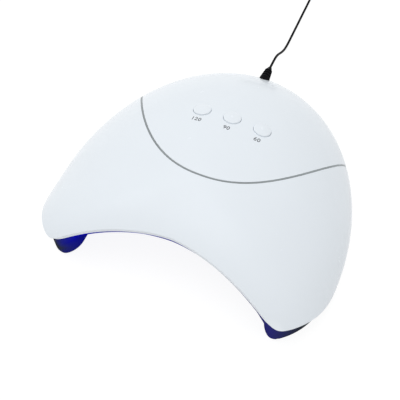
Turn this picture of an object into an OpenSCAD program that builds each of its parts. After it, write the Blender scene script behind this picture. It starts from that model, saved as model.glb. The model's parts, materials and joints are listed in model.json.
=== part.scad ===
// Ultraviolet nail lamp: an arched dome on two feet, with three domed time buttons on its rear cover,
// a mirrored liner with diodes over the hand, and a thin lead with a flat plug.
// The table is z = 0 and the origin is at the middle of the lamp. The hand goes in from -Y and the
// lead leaves at +Y. The modules of the lamp itself count y from the dome's widest place.

/* [Dome] */
// Width of the dome at its rim
dome_w = 170; // [160:1:180]
// Reach of the rim behind the widest place
back_reach = 113.5; // [108:0.5:120]
// Reach that the full dome would have in front of the widest place
front_reach = 60; // [58:0.5:63]
// Height of the dome above its rim
dome_h = 42.5; // [41:0.5:46]
// Height of the rim above the table
rim_z = 6.5; // [6:0.1:7.5]
// How slowly the crown falls away near the middle
crown_fall = 1.85; // [1.75:0.05:2.0]
// How upright the dome stands at its rim
crown_round = 1.6; // [1.5:0.05:1.7]
// Wall of the two covers
wall = 2; // [1.6:0.1:2.4]

/* [Front opening] */
// Distance of the front edge's middle from the widest place
notch_y = 31; // [29:0.25:33]
// How far the front edge would come forward at the full width
notch_sag = 29.8; // [27:0.2:32]
// Power of the front edge's curve
notch_power = 1.64; // [1.56:0.02:1.8]
// Forward reach that the feet's rounded outline would have at the middle
foot_reach = 61.5; // [60:0.5:63]
// Height of the hand space under the liner
hand_h = 35.5; // [34:0.5:36]
// Width of the hand space at the table
hand_w = 110; // [106:1:112]
// Rounding of the hand space's corners at the table
corner_r = 11; // [8:0.5:13]
// Distance from the hand space's back to the rim behind it
back_gap = 25.5; // [22:0.5:29]
// How far the hand space's ceiling comes down under the buttons
hand_drop = 6; // [5:0.5:8]
// Sheet of the mirrored liner
liner_t = 1.6; // [1.2:0.1:2]

/* [Base frame] */
// Thickness of the rubber pads
pad_h = 0.8; // [0.6:0.1:1.2]
// Radius of the rubber pads
pad_r = 4; // [3:0.5:5]
// Thickness of the frame's plate
plate_t = 2; // [1.8:0.1:2.4]
// Thickness of the frame's upright wall
frame_wall = 1.8; // [1.4:0.1:2]
// How far that wall reaches up inside the covers
frame_lap = 2.4; // [1.6:0.1:2.5]

/* [Seam strip] */
// Distance of the strip's middle behind the widest place
seam_y = 4.6; // [3:0.2:7]
// How far the strip would run back at the full width
seam_rise = 105; // [100:1:110]
// Power of the strip's curve
seam_power = 2.15; // [2.05:0.05:2.25]
// Width of the slot for the strip
seam_w = 1.3; // [1:0.1:2]
// Depth of the strip through the covers
seam_depth = 2.3; // [2:0.1:2.4]

/* [Buttons] */
// Distance of the button row behind the widest place
button_y = 50; // [48:0.5:52]
// Distance between neighbouring buttons
button_pitch = 18; // [17:0.5:19]
// Diameter of a button
button_d = 10; // [9:0.2:10.6]
// Gap round a button in its hole
button_gap = 0.25; // [0.2:0.05:0.4]
// How far a button stands proud of the cover
button_proud = 1.2; // [1:0.1:1.6]
// Height of the dome on a button's face
button_crown = 0.95; // [0.7:0.05:1.2]
// How far a button travels
button_travel = 0.6; // [0.4:0.1:0.7]
// Tilt of the button row and its board towards the back
board_tilt = 13.5; // [12:0.5:15]

/* [Control board] */
// Width of the control board
board_w = 60; // [58:1:62]
// Depth of the control board
board_l = 26; // [25:1:27]
// Sheet of the control board
board_t = 1.2; // [1:0.1:1.6]
// Side of a switch
switch_w = 6; // [5.6:0.2:6.4]
// Height of a switch's case
switch_h = 2.6; // [2.4:0.1:3]
// Distance of the board's two posts from the middle
post_x = 26; // [25.5:0.5:27]

/* [Diodes] */
// Length of a diode strip
strip_l = 50; // [46:1:52]
// Width of a diode strip
strip_w = 10; // [8:0.5:11]
// Sheet of a diode strip
strip_t = 1; // [0.8:0.1:1.2]
// Diodes on a strip
strip_count = 4; // [3:1:5]
// Distance of the side strips from the middle
side_strip_x = 34; // [32:1:36]
// Diameter of a diode's lens
lens_d = 4; // [3:0.2:4.6]

/* [Lead] */
// Diameter of the lead
lead_d = 1.6; // [1.4:0.1:1.6]
// Height of the lead where it leaves the cover
lead_z = 16; // [15:0.5:17]
// Diameter of the strain relief at the cover
relief_d = 6.6; // [6:0.2:7]
// Length of the strain relief's ribbed part
relief_l = 7.5; // [6:0.5:9]
// Diameter of the strain relief at the end of its ribs
relief_tip_d = 4.8; // [4:0.2:5.4]
// Loops in the coil, piled in four layers
coil_loops = 16; // [12:4:16]

/* [Hidden] */
$fn = 48;
// General clearance between pieces of one body, and of a screw's thread in its bore
fit = 0.1;
thread_fit = 0.02;
white = [0.93, 0.94, 0.95];
mirror = [0.25, 0.27, 0.42];
black = [0.05, 0.05, 0.05];
half_w = dome_w / 2;
// Exponents of the rim's outline: an ellipse behind the widest place, squarer in front and at the feet
back_square = 2;
front_square = 5;
foot_square = 2.75;
// Sharpness of the blend between the front edge and the feet's outline
tip_blend = 20;
// Base frame: its top and its place inside the rim
plate_top = pad_h + plate_t;
frame_inset = wall + 0.9;
// Case screws, their heads and the bosses that they turn into
screw_r = 1.2;
head_r = 2.4;
head_h = 1.2;
boss_r = 2.8;
boss_top = rim_z + frame_lap + 2.1;
boss_in = 8;
boss_reach = boss_in - wall - 0.2;
front_boss_y = -8;
back_boss_angle = 62;
front_pad_y = -26;
back_pad_angle = 50;
// Control board, buttons and switches, as depths under the cover along the board's normal
sleeve_wall = 1.5;
collar_out = 0.6;
collar_t = 0.8;
collar_top = -wall - 2.8;
board_top = collar_top - collar_t - button_travel - 2 * fit - switch_h;
plunger_r = 1.6;
plunger_fit = 0.05;
plunger_bottom = board_top + switch_h - 1;
post_r = 2.2;
small_screw_r = 0.8;
small_head_r = 1.9;
small_head_h = 1;
board_thread = 3;
// Sockets' places on the board, and the height of their wires' middle over it
lead_socket_at = [20.5, 9];
strip_socket_at = [-19, -9];
socket_mid = 1.55;
// Liner's arch and the flange that covers the ends of the feet
hand_half = hand_w / 2;
hand_reach = back_reach - back_gap;
// Exponents of its cross-section at the front and at the back, and where the one turns into the other
front_fall = 5;
front_round = 1.7;
back_fall = 3;
back_round = 1.4;
fall_from = 28;
drop_from = 15;
drop_to = 60;
liner_inset = wall + 4 * fit;
flange_x = half_w - 5;
flange_rows = 4;
corner_rows = 5;
liner_rows = 12;
liner_columns = 18;
strip_hole_in = 2.2;
strip_screw_r = 0.9;
lens_sink = 1.6;
// Strain relief and clamp
relief_in = 8;
relief_flange = 1.2;
relief_ribs = 3;
relief_groove = 0.5;
relief_cone = 2.8;
clamp_x = 6;
clamp_l = 5;
clamp_h = 3;
clamp_thread = 4;
// Rows and columns of the covers' grids, and the front edge's share of the front cover's border
columns = 28;
rows = 14;
front_share = 0.6;
// Coil of the spare lead, its tie and its plug, counted from the lamp's middle
coil_middle = [-12.9, 193];
coil_r = 12.9;
coil_pitch = 2.05;
coil_z = 1.35;
coil_layers = 4;
coil_steps = 24;
tie_w = 2.4;
tie_t = 0.4;
tie_gap = 0.15;
plug_at = [-21, 212, 3.9];
grip_l = 19.5;
grip_w = 15.4;
grip_h = 7.6;
grip_neck = 5;
shell_l = 12;
shell_w = 12;
shell_h = 4.5;
shell_t = 0.35;
tongue_t = 1.9;

function clamp01(v) = min(max(v, 0), 1);
function smooth(a, b, v) = let (t = clamp01((v - a) / (b - a))) t * t * (3 - 2 * t);
function mix(p, q, t) = p + (q - p) * t;
function unit(v) = v / norm(v);
function norm_p(a, b, n) = pow(pow(abs(a), n) + pow(abs(b), n), 1 / n);
function reverse(v) = [for (i = [len(v) - 1:-1:0]) v[i]];

// Outline of the feet in plan: distance in front of the widest place
function foot_y(x, inset) =
    (foot_reach - inset) * pow(max(1 - pow(abs(x) / (half_w - inset), foot_square), 0), 1 / foot_square);
function notch_line(x) = notch_y + notch_sag * pow(abs(x) / half_w, notch_power);
// Front edge and feet blended into one line
function edge_y(x, inset) = let (f = foot_y(x, inset), n = notch_line(x))
    f < 0.01 ? 0 : 1 / norm_p(1 / n, 1 / f, tip_blend);

// Radial place in the dome, from 0 at its middle to 1 at its rim
function dome_rho(x, y, inset) = y > 0
    ? norm_p(x / (half_w - inset), y / (back_reach - inset), back_square)
    : norm_p(x / (half_w - inset), y / (front_reach - inset), front_square);
function dome_z(x, y, inset) = rim_z + (dome_h - inset)
    * pow(1 - pow(clamp01(dome_rho(x, y, inset)), crown_fall), 1 / crown_round);
function on_dome(p, inset) = [p[0], p[1], dome_z(p[0], p[1], inset)];

// The seam's line in plan, moved sideways by shift
function seam_line(x) = seam_y + seam_rise * pow(abs(x) / half_w, seam_power);
function seam_slope(x) =
    sign(x) * seam_rise * seam_power * pow(abs(x) / half_w, seam_power - 1) / half_w;
function seam_point(x, shift) = let (s = seam_slope(x), l = norm([s, 1]))
    [x - shift * s / l, seam_line(x) + shift / l];
function seam_reach(shift, inset, lo, hi, n) = let (m = (lo + hi) / 2, p = seam_point(m, shift))
    n == 0 ? lo : dome_rho(p[0], p[1], inset) < 1
        ? seam_reach(shift, inset, m, hi, n - 1) : seam_reach(shift, inset, lo, m, n - 1);
// Half-length of the seam, where it meets the rim
function seam_end(shift, inset) = seam_reach(shift, inset, 0, half_w - inset, 24);
function seam_angle(shift, inset) =
    acos(clamp01(abs(seam_point(seam_end(shift, inset), shift)[0]) / (half_w - inset)));

// Outer border of the front cover at u from -1 to 1: front edge, foot, side and back to the seam
function front_border(u, inset, end_angle) = let (s = sign(u), v = abs(u))
    v <= front_share
    ? let (x = (half_w - inset) * sin(90 * v / front_share)) [s * x, -edge_y(x, inset)]
    : let (a = end_angle * (v - front_share) / (1 - front_share))
        [s * (half_w - inset) * cos(a), (back_reach - inset) * sin(a)];
function back_border(u, inset, end_angle) = let (a = 90 - u * (90 - end_angle))
    [(half_w - inset) * cos(a), (back_reach - inset) * sin(a)];
// Rows lie closer together near the rim, where the dome stands upright
function row_share(j) = 1 - pow(1 - j / rows, 2);
function front_grid(inset) =
    let (shift = -seam_w / 2, reach = seam_end(shift, inset), last = seam_angle(shift, inset) - 0.6)
    [for (j = [0:rows]) [for (i = [-columns:columns]) let (u = i / columns,
        p = seam_point(reach * sin(90 * u), shift), q = front_border(u, inset, last))
        on_dome(mix(p, q, row_share(j)), inset)]];
function back_grid(inset) =
    let (shift = seam_w / 2, reach = seam_end(shift, inset), first = seam_angle(shift, inset) + 0.6)
    [for (j = [rows:-1:0]) [for (i = [-columns:columns]) let (u = i / columns,
        p = seam_point(reach * sin(90 * u), shift), q = back_border(u, inset, first))
        on_dome(mix(p, q, row_share(j)), inset)]];

// Where the dome has the height z behind the middle, found by halving
function cover_reach(z, inset, lo, hi, n) = let (m = (lo + hi) / 2)
    n == 0 ? lo : dome_z(0, m, inset) > z
        ? cover_reach(z, inset, m, hi, n - 1) : cover_reach(z, inset, lo, m, n - 1);
lead_y = cover_reach(lead_z, 0, 0, back_reach, 24);
// Flat seat of the strain relief inside the cover, where the cover is widest above the lead
seat_r = relief_d / 2 + 1.6;
seat_y = cover_reach(lead_z + seat_r, wall, 0, back_reach, 24) - 0.3;

// Hand space: its radial place and the height of its ceiling, out from its face by out
function hand_rho(x, y, out) = y > 0
    ? norm_p(x / (hand_half + out), y / (hand_reach + out), 2) : abs(x) / (hand_half + out);
function hand_z(x, y, out) = let (t = smooth(fall_from, drop_to, y))
    plate_top + (hand_h - plate_top + out - hand_drop * smooth(drop_from, drop_to, y))
    * pow(1 - pow(clamp01(hand_rho(x, y, out)), mix(front_fall, back_fall, t)),
        1 / mix(front_round, back_round, t));
// Rounded corner of the hand space in plan: how far it is wider and further back at the angle a
function corner(a, r) = r * [1 - cos(a), 1 - sin(a)];

// Outline of the base frame, inside the covers' rim all round
function frame_side(inset) = let (w = half_w - inset, first = asin((hand_half + corner_r) / w))
    [for (i = [0:12]) let (x = w * sin(mix(first, 90, i / 12))) [x, -edge_y(x, inset)]];
function frame_path(inset) = let (side = frame_side(inset))
    concat(side, [for (i = [1:2 * columns - 1]) let (a = 90 * i / columns)
        [(half_w - inset) * cos(a), (back_reach - inset) * sin(a)]],
        [for (p = reverse(side)) [-p[0], p[1]]]);
// The lamp's middle lies half way between its feet's tips and its back
tip_y = max([for (x = [40:0.5:70]) edge_y(x, 0)]);
middle_y = (back_reach - tip_y) / 2;

// Places of the screw bosses and the pads under the base frame
function front_boss(s) = [s * (half_w - boss_in), front_boss_y];
function back_dir(s) = unit([s * cos(back_boss_angle) / half_w, sin(back_boss_angle) / back_reach]);
function back_boss(s) = [s * half_w * cos(back_boss_angle), back_reach * sin(back_boss_angle)]
    - boss_in * back_dir(s);
boss_places = [front_boss(-1), front_boss(1), back_boss(-1), back_boss(1)];
function front_pad(s) = [s * (hand_half + half_w - frame_inset) / 2, front_pad_y];
function back_pad(s) = [s * (hand_half + half_w - frame_inset) / 2 * cos(back_pad_angle),
    (hand_reach + back_reach - frame_inset) / 2 * sin(back_pad_angle)];

// Closed sheet between two grids of points with equal rows and columns. The first grid is its outside,
// with its columns running to +X and its rows to -Y.
module sheet(a, b) {
    m = len(a);
    n = len(a[0]);
    pts = [for (g = [a, b]) for (r = g) for (p = r) p];
    function k(g, j, i) = g * m * n + j * n + i;
    function quad(p, q, r, s, turn) = turn ? [[p, q, r], [p, r, s]] : [[p, q, s], [q, r, s]];
    tris = concat(
        [for (j = [0:m - 2]) for (i = [0:n - 2]) for (t = quad(k(0, j, i), k(0, j, i + 1),
            k(0, j + 1, i + 1), k(0, j + 1, i), i < (n - 1) / 2)) t],
        [for (j = [0:m - 2]) for (i = [0:n - 2]) for (t = quad(k(1, j, i), k(1, j + 1, i),
            k(1, j + 1, i + 1), k(1, j, i + 1), i < (n - 1) / 2)) t],
        [for (i = [0:n - 2]) for (t = quad(k(0, 0, i), k(1, 0, i), k(1, 0, i + 1), k(0, 0, i + 1), true)) t],
        [for (i = [0:n - 2]) for (t = quad(k(0, m - 1, i), k(0, m - 1, i + 1),
            k(1, m - 1, i + 1), k(1, m - 1, i), true)) t],
        [for (j = [0:m - 2]) for (t = quad(k(0, j, 0), k(0, j + 1, 0), k(1, j + 1, 0), k(1, j, 0), true)) t],
        [for (j = [0:m - 2]) for (t = quad(k(0, j, n - 1), k(1, j, n - 1),
            k(1, j + 1, n - 1), k(0, j + 1, n - 1), true)) t]);
    polyhedron(pts, tris, convexity = 6);
}

// A round tube along a list of points, as one closed surface
function frames(pts) = [for (i = [0:len(pts) - 1])
    let (t = unit(pts[min(i + 1, len(pts) - 1)] - pts[max(i - 1, 0)]), s = unit(cross(t, [0, 0, 1])))
    [s, cross(s, t)]];
module tube(pts, r, sides) {
    f = frames(pts);
    n = len(pts);
    rings = [for (i = [0:n - 1]) for (k = [0:sides - 1]) let (a = 360 * k / sides)
        pts[i] + r * (cos(a) * f[i][0] + sin(a) * f[i][1])];
    walls = [for (i = [0:n - 2]) for (k = [0:sides - 1])
        let (a = i * sides + k, b = i * sides + (k + 1) % sides)
        each [[a, b, b + sides], [a, b + sides, a + sides]]];
    end = (n - 1) * sides;
    caps = [for (k = [1:sides - 2]) each [[0, k + 1, k], [end, end + k, end + k + 1]]];
    polyhedron(rings, concat(walls, caps), convexity = 10);
}

// The lamp's own pieces, moved so that the origin is at the lamp's middle
module lamp() {
    translate([0, -middle_y, 0]) children();
}
// Places a piece on the button row's plane: x along the row, y up its slope, d out from the cover
module on_board(x, d, y = 0) {
    translate([0, button_y, dome_z(0, button_y, 0)]) rotate([-board_tilt, 0, 0])
        translate([x, y, d]) children();
}
function board_point(x, d, y) = [x, button_y + y * cos(board_tilt) + d * sin(board_tilt),
    dome_z(0, button_y, 0) - y * sin(board_tilt) + d * cos(board_tilt)];
// How far the cover lies under the button row's plane at x, and how much it leans there
function side_drop(x) = (dome_z(0, button_y, 0) - dome_z(x, button_y, 0)) * cos(board_tilt);
function side_lean(x) =
    atan((dome_z(x - 1, button_y, 0) - dome_z(x + 1, button_y, 0)) / 2 * cos(board_tilt));

// A boss for a case screw, moulded to the cover's wall just inside the rim
module boss(at, dir) {
    translate([at[0], at[1], 0]) rotate([0, 0, atan2(dir[1], dir[0])]) {
        translate([0, 0, plate_top + fit]) cylinder(r = boss_r, h = boss_top - plate_top - fit);
        translate([boss_r - 1, -0.8, rim_z + frame_lap + 2 * fit])
            cube([boss_reach - boss_r + 1, 1.6, boss_top - rim_z - frame_lap - 2 * fit]);
    }
}
module boss_bore(at) {
    translate([at[0], at[1], 0]) cylinder(r = screw_r + thread_fit, h = boss_top - 1.2);
}
module front_shell() {
    color(white) difference() {
        union() {
            sheet(front_grid(0), front_grid(wall));
            for (s = [-1, 1]) boss(front_boss(s), [s, 0]);
        }
        for (s = [-1, 1]) boss_bore(front_boss(s));
    }
}

// A guide round a button, moulded to the cover and cut off flat over the button's collar
module sleeve(x) {
    difference() {
        on_board(x, -side_drop(x)) rotate([0, side_lean(x), 0]) translate([0, 0, collar_top - 1])
            cylinder(r = button_d / 2 + sleeve_wall, h = -collar_top + 1 - wall / 2);
        on_board(x, collar_top + fit - 12) cylinder(r = button_d, h = 12);
    }
}
// A seat for the strain relief, cut off at the back along the cover's slope
module relief_seat() {
    z = [lead_z - seat_r, lead_z + seat_r];
    y = [cover_reach(z[0], wall / 2, 0, back_reach, 24), cover_reach(z[1], wall / 2, 0, back_reach, 24)];
    difference() {
        translate([0, seat_y, lead_z]) rotate([-90, 0, 0]) cylinder(r = seat_r, h = back_reach - seat_y);
        translate([-seat_r - 1, y[0], z[0]]) rotate([atan2(y[0] - y[1], z[1] - z[0]), 0, 0])
            translate([0, 0, -2 * seat_r]) cube([2 * seat_r + 2, 4 * seat_r, 8 * seat_r]);
    }
}
module rear_cover() {
    post_h = -board_top - side_drop(post_x) - wall * 0.55;
    color(white) difference() {
        union() {
            sheet(back_grid(0), back_grid(wall));
            for (s = [-1, 1]) boss(back_boss(s), back_dir(s));
            for (s = [-1, 1]) on_board(s * post_x, board_top) cylinder(r = post_r, h = post_h);
            for (i = [-1:1]) sleeve(i * button_pitch);
            relief_seat();
        }
        for (s = [-1, 1]) boss_bore(back_boss(s));
        for (s = [-1, 1]) on_board(s * post_x, board_top - 1)
            cylinder(r = small_screw_r + thread_fit, h = post_h - 0.4);
        for (i = [-1:1]) on_board(i * button_pitch, collar_top - 2)
            cylinder(d = button_d + 2 * button_gap, h = 14);
        translate([0, seat_y - 1, lead_z]) rotate([-90, 0, 0])
            cylinder(d = relief_d + 2 * fit, h = back_reach - seat_y);
    }
}
module seam_strip() {
    function line(shift, inset) = let (reach = seam_end(shift, inset))
        [for (i = [-columns:columns]) on_dome(seam_point(reach * sin(90 * i / columns), shift), inset)];
    edge = seam_w / 2 - fit / 2;
    color("silver")
        sheet([line(edge, fit), line(-edge, fit)], [line(edge, seam_depth), line(-edge, seam_depth)]);
}

// Liner: an arch over the hand, closed at the back, with rounded corners and a flange that stands as the
// feet's dark fronts
function liner_angle(i) = 90 * i / liner_columns;
function liner_corner(a) = corner_r * pow(abs(sin(a)), 6);
// Ceiling of the arch, which stays under the cover
function arch_z(a, out, x, y) = abs(a) > 89 ? plate_top
    : min(hand_z((hand_half + out) * sin(a), -1, out), dome_z(x, y, liner_inset) - liner_t + out);
function corner_point(a, out, turn) = let (c = corner(turn, liner_corner(a)),
    x = (hand_half + out + c[0]) * sin(a), y = c[1] - edge_y(x, liner_inset))
    [x, y + out, arch_z(a, out, x, y)];
function flange_point(a, out, t) = let (x = mix(hand_half + out + liner_corner(a), flange_x, t) * sin(a),
    y = -edge_y(x, liner_inset))
    [x, y + out, abs(a) > 89 ? plate_top : mix(arch_z(a, out, x, y), dome_z(x, y, liner_inset), t)];
function liner_row(j, out) = let (t = 90 * j / liner_rows, y = (hand_reach + out) * sin(t),
    w = j == liner_rows ? 3 : (hand_half + out) * cos(t))
    [for (i = [-liner_columns:liner_columns]) let (x = w * sin(liner_angle(i)))
        [x, y, j == liner_rows || abs(i) == liner_columns ? plate_top : hand_z(x, y, out)]];
function liner_grid(out) = concat([for (j = [liner_rows:-1:0]) liner_row(j, out)],
    [for (j = [0:corner_rows]) [for (i = [-liner_columns:liner_columns])
        corner_point(liner_angle(i), out, 90 * j / corner_rows)]],
    [for (j = [1:flange_rows]) [for (i = [-liner_columns:liner_columns])
        flange_point(liner_angle(i), out, j / flange_rows)]]);

// Diode strips lie on the liner's back, square to its surface
function strip_x(k) = k * side_strip_x;
function strip_lean(k) = let (x = strip_x(k))
    atan(hand_z(x - 0.5, -1, liner_t) - hand_z(x + 0.5, -1, liner_t));
function strip_point(k, x, y, d) = [strip_x(k) + d * sin(strip_lean(k)) + x * cos(strip_lean(k)), y,
    hand_z(strip_x(k), -1, liner_t) + d * cos(strip_lean(k)) - x * sin(strip_lean(k))];
function lens_y(i) = strip_l * ((i + 0.5) / strip_count - 0.5);
module on_strip(k) {
    translate([strip_x(k), 0, hand_z(strip_x(k), -1, liner_t)]) rotate([0, strip_lean(k), 0]) children();
}
module at_strip_holes() {
    for (s = [-1, 1]) translate([0, s * (strip_l / 2 - strip_hole_in), 0]) children();
}
module reflector() {
    color(mirror) difference() {
        sheet(liner_grid(liner_t), liner_grid(0));
        for (k = [-1:1]) on_strip(k) for (i = [0:strip_count - 1])
            translate([0, lens_y(i), -8]) cylinder(d = lens_d + 6 * fit, h = 10);
        for (k = [-1:1]) on_strip(k) at_strip_holes() translate([0, 0, 0.2 - liner_t])
            cylinder(r = strip_screw_r + thread_fit, h = liner_t + 1);
    }
}
module strip(k) {
    color([0.85, 0.86, 0.86]) on_strip(k) difference() {
        translate([-strip_w / 2, -strip_l / 2, fit]) cube([strip_w, strip_l, strip_t]);
        at_strip_holes() translate([0, 0, -1]) cylinder(r = strip_screw_r + fit, h = 4);
    }
}
module diodes(k) {
    color([0.75, 0.78, 0.95]) on_strip(k) for (i = [0:strip_count - 1]) translate([0, lens_y(i), 0]) {
        translate([0, 0, -lens_sink]) cylinder(d = lens_d, h = lens_sink + fit);
        translate([0, 0, -lens_sink]) intersection() {
            sphere(d = lens_d);
            translate([-lens_d, -lens_d, -lens_d]) cube([2 * lens_d, 2 * lens_d, lens_d + 0.1]);
        }
    }
}

// Horseshoe that stands on the table inside the rim and carries the covers and the liner
module base_frame() {
    front_corner = [for (i = [0:corner_rows - 1]) let (c = corner(90 * i / corner_rows, corner_r),
        x = hand_half + c[0]) [x, c[1] - edge_y(x, frame_inset)]];
    hand_path = concat([for (p = reverse(front_corner)) [-p[0], p[1]]],
        [for (i = [columns:-1:-columns]) let (a = 90 + 90 * i / columns)
            [hand_half * cos(a), hand_reach * sin(a)]], front_corner);
    outer = frame_path(frame_inset);
    lap_from = liner_t + 4 * fit - edge_y(flange_x, liner_inset);
    color(mirror) difference() {
        union() {
            translate([0, 0, pad_h]) linear_extrude(plate_t) polygon(concat(outer, hand_path));
            translate([0, 0, plate_top - 0.2]) linear_extrude(rim_z + frame_lap - plate_top + 0.2)
                intersection() {
                    polygon(concat(outer, reverse(frame_path(frame_inset + frame_wall))));
                    translate([-half_w, lap_from]) square([dome_w, back_reach - lap_from]);
                }
            for (s = [-1, 1]) translate([s * clamp_x, clamp_y, plate_top - 0.2])
                cylinder(r = post_r, h = lead_z - lead_d / 2 - plate_top + 0.2);
        }
        for (p = boss_places) translate([p[0], p[1], -1]) cylinder(r = screw_r + 3 * fit, h = plate_top + 2);
        for (p = boss_places) translate([p[0], p[1], 0]) cylinder(r = head_r + 3 * fit, h = pad_h + head_h);
        for (s = [-1, 1]) translate([s * clamp_x, clamp_y, lead_z - 8])
            cylinder(r = small_screw_r + thread_fit, h = 10);
    }
}
module foot(at) {
    color([0.12, 0.12, 0.13]) translate([at[0], at[1], 0]) {
        cylinder(r1 = pad_r - 0.3, r2 = pad_r, h = 0.3);
        translate([0, 0, 0.3]) cylinder(r = pad_r, h = pad_h - 0.3);
    }
}
// A cross-head screw that points up, with its head under z = 0
module screw(r, head, head_t, l) {
    translate([0, 0, -head_t]) difference() {
        cylinder(r = head, h = head_t);
        translate([0, 0, -0.1]) for (a = [0, 90]) rotate([0, 0, a]) translate([-head * 0.6, -0.2, 0])
            cube([head * 1.2, 0.4, head_t * 0.5]);
    }
    cylinder(r = r, h = l);
}
module case_screws() {
    color("silver") for (p = boss_places) translate([p[0], p[1], pad_h + head_h])
        screw(screw_r, head_r, head_h, boss_top - 2.4 - pad_h - head_h);
}

// Buttons: a domed head, a collar that holds it under its guide, and a plunger into the switch
module button(i) {
    x = i * button_pitch;
    r = button_d / 2;
    crown_r = (r * r + button_crown * button_crown) / (2 * button_crown);
    color(white) on_board(x, 0) {
        intersection() {
            translate([0, 0, collar_top - 0.1]) cylinder(r = r, h = 12);
            translate([0, 0, -side_drop(x)]) rotate([0, side_lean(x), 0])
                translate([0, 0, button_proud - crown_r]) sphere(r = crown_r, $fn = 96);
        }
        translate([0, 0, collar_top - collar_t]) cylinder(r = r + collar_out, h = collar_t);
    }
}
module plunger(i) {
    color([0.15, 0.15, 0.16]) on_board(i * button_pitch, plunger_bottom)
        cylinder(r = plunger_r, h = collar_top - collar_t - plunger_bottom);
}
module switch_case(i) {
    depth = plunger_bottom - button_travel - 2 * fit - board_top;
    color([0.2, 0.2, 0.22]) on_board(i * button_pitch, board_top) difference() {
        translate([-switch_w / 2, -switch_w / 2, 0]) cube([switch_w, switch_w, switch_h]);
        translate([0, 0, depth]) cylinder(r = plunger_r + plunger_fit, h = switch_h);
    }
}
module control_board() {
    color([0.1, 0.35, 0.2]) on_board(0, board_top - board_t) difference() {
        translate([-board_w / 2, -board_l / 2, 0]) cube([board_w, board_l, board_t]);
        for (s = [-1, 1]) translate([s * post_x, 0, -1])
            cylinder(r = small_screw_r + 3 * fit, h = board_t + 2);
    }
}
module board_screws() {
    color("silver") for (s = [-1, 1]) on_board(s * post_x, board_top - board_t)
        screw(small_screw_r, small_head_r, small_head_h, board_t + board_thread);
}
module controller_chip() {
    color([0.08, 0.08, 0.09]) on_board(-9, board_top, 8) {
        translate([-2.4, -2, 0.2]) cube([4.8, 4, 1.4]);
        for (s = [-1, 1]) for (i = [0:3]) translate([-2.1 + i * 1.27, s * 2.4 - 0.6, 0])
            cube([0.4, 1.2, 0.4]);
    }
}
module driver_coil() {
    color([0.25, 0.24, 0.23]) on_board(9, board_top, 8) {
        cylinder(r = 2.8, h = 0.6);
        cylinder(r = 1.8, h = 2.4);
        translate([0, 0, 1.9]) cylinder(r = 2.8, h = 0.6);
    }
}
module capacitor() {
    color([0.3, 0.3, 0.55]) on_board(0, board_top, 8.5) cylinder(r = 2, h = 2.8);
}
// A small plug-in socket, open to -Y
module socket(w, d, h) {
    difference() {
        translate([-w / 2, -d / 2, 0]) cube([w, d, h]);
        translate([-w / 2 + 0.6, -d / 2 - 1, 0.6]) cube([w - 1.2, d - 0.2, h - 1.1]);
    }
}
module lead_socket() {
    color([0.95, 0.94, 0.88]) on_board(lead_socket_at[0], board_top, lead_socket_at[1])
        rotate([0, 0, 180]) socket(5, 4.5, 3);
}
module strip_socket() {
    color([0.95, 0.94, 0.88]) on_board(strip_socket_at[0], board_top, strip_socket_at[1]) socket(8, 4.5, 3);
}
module strip_screws() {
    color("silver") for (k = [-1:1]) on_strip(k) at_strip_holes()
        translate([0, 0, fit + strip_t]) rotate([180, 0, 0]) screw(strip_screw_r, 1.8, 0.9, strip_t + 1.2);
}
// Each wire leaves the strip socket forward and comes down on its strip from behind, as one smooth curve
function curve(a, b, c, d, t) = let (u = 1 - t)
    u * u * u * a + 3 * u * u * t * b + 3 * u * t * t * c + t * t * t * d;
module wire(k) {
    wire_r = 0.5;
    x = strip_socket_at[0] + k * 2.2;
    from = board_point(x, board_top + socket_mid, strip_socket_at[1] - 1.6);
    ahead = board_point(x, board_top + socket_mid, strip_socket_at[1] - 8);
    side = k < 0 ? 3 : -3;
    above = strip_point(k, side, strip_l / 2 + 6, 6);
    to = strip_point(k, side, strip_l / 2 - 6, fit + strip_t + wire_r);
    color([0.7, 0.1, 0.1]) tube([for (t = [0:0.1:1]) curve(from, ahead, above, to, t)], wire_r, 6);
}

// Strain relief: a flange behind its seat, a plain neck through the cover, ribs and a short cone
module strain_relief() {
    r0 = relief_d / 2;
    r1 = relief_tip_d / 2;
    back = seat_y - lead_y;
    rib = relief_l / (2 * relief_ribs + 1);
    function r_at(y) = mix(r0, r1, y / relief_l);
    function groove(y) = [[r_at(y), y], [r_at(y) - relief_groove, y],
        [r_at(y + rib) - relief_groove, y + rib], [r_at(y + rib), y + rib]];
    profile = concat([[0, back - relief_flange], [seat_r, back - relief_flange], [seat_r, back - fit],
        [r0, back - fit], [r0, 0]], [for (i = [0:relief_ribs - 1]) each groove((2 * i + 1) * rib)],
        [[r1, relief_l], [lead_d / 2 + 0.3, relief_l + relief_cone], [0, relief_l + relief_cone]]);
    color(black) translate([0, lead_y, lead_z]) rotate([-90, 0, 0]) rotate_extrude() polygon(profile);
}
clamp_y = seat_y - clamp_l;
module lead_clamp() {
    color([0.9, 0.9, 0.88]) difference() {
        translate([-clamp_x - 3, clamp_y - clamp_l / 2, lead_z - lead_d / 2])
            cube([2 * clamp_x + 6, clamp_l, clamp_h]);
        translate([0, clamp_y - clamp_l, lead_z]) rotate([-90, 0, 0])
            cylinder(r = lead_d / 2 + thread_fit, h = 2 * clamp_l);
        translate([-lead_d / 2, clamp_y - clamp_l, lead_z - clamp_h]) cube([lead_d, 2 * clamp_l, clamp_h]);
        for (s = [-1, 1]) translate([s * clamp_x, clamp_y, lead_z - clamp_l])
            cylinder(r = small_screw_r + 3 * fit, h = 2 * clamp_l);
    }
}
module clamp_screws() {
    color("silver") for (s = [-1, 1]) translate([s * clamp_x, clamp_y, lead_z - lead_d / 2 + clamp_h])
        rotate([180, 0, 0]) screw(small_screw_r, small_head_r, small_head_h, clamp_h + clamp_thread);
}
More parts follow.
